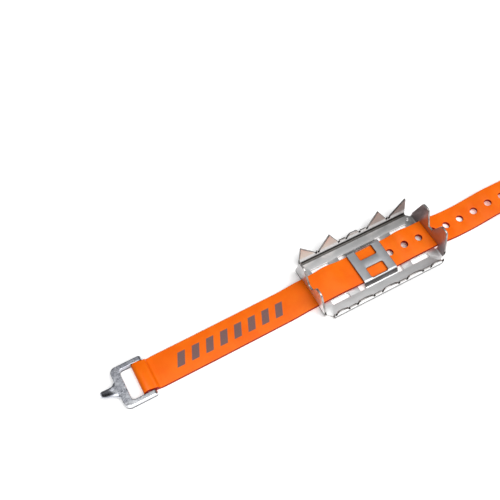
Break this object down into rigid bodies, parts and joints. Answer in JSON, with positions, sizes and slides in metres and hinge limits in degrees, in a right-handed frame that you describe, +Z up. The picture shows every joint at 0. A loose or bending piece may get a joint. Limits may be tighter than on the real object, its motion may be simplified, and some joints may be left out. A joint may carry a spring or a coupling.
{
  "type": "shoe ice cleats",
  "caption": "Strap-on traction cleat for shoes: a folded steel bracket with spiked edges on a holed flexible strap that closes with a metal hook buckle.",
  "frame": {"origin": "middle of the whole cleat's bounding box, on the surface it lies on; the bracket's middle is 43.4 mm towards -X from it", "axes": "+X along the strap towards its free end, +Y towards the side with the tall spikes, +Z up, away from the shoe's sole and towards the ground the cleat bites"},
  "size_m": [0.5352, 0.0558, 0.0253],
  "materials": {
    "stainless_sheet": "satin, with ground edges",
    "cast_aluminium": "tumbled",
    "orange_polyurethane": "satin, slightly see-through"
  },
  "bodies": {
    "bracket": {"spike_bracket": "stainless_sheet"},
    "strap": {"strap_middle": "orange_polyurethane"},
    "free_tail": {"strap_free_tail": "orange_polyurethane"},
    "buckle_tail": {"strap_buckle_tail": "orange_polyurethane"},
    "buckle": {"hook_buckle": "cast_aluminium"}
  },
  "joints": [
    {"name": "strap_slide", "type": "slide", "parent": "bracket", "child": "strap", "axis": [1, 0, 0], "range_m": [-0.008, 0.008]},
    {"name": "free_tail_bend", "type": "hinge", "parent": "strap", "child": "free_tail", "pos_m": [0.0223, -0.00097, 0.0032], "axis": [0, -1, 0], "range_deg": [0, 75]},
    {"name": "buckle_tail_bend", "type": "hinge", "parent": "strap", "child": "buckle_tail", "pos_m": [-0.1091, -0.00097, 0.0032], "axis": [0, 1, 0], "range_deg": [0, 75]},
    {"name": "buckle_hinge", "type": "hinge", "parent": "buckle_tail", "child": "buckle", "pos_m": [-0.2365, -0.00097, 0.0037], "axis": [0, 1, 0], "range_deg": [0, 150]}
  ]
}
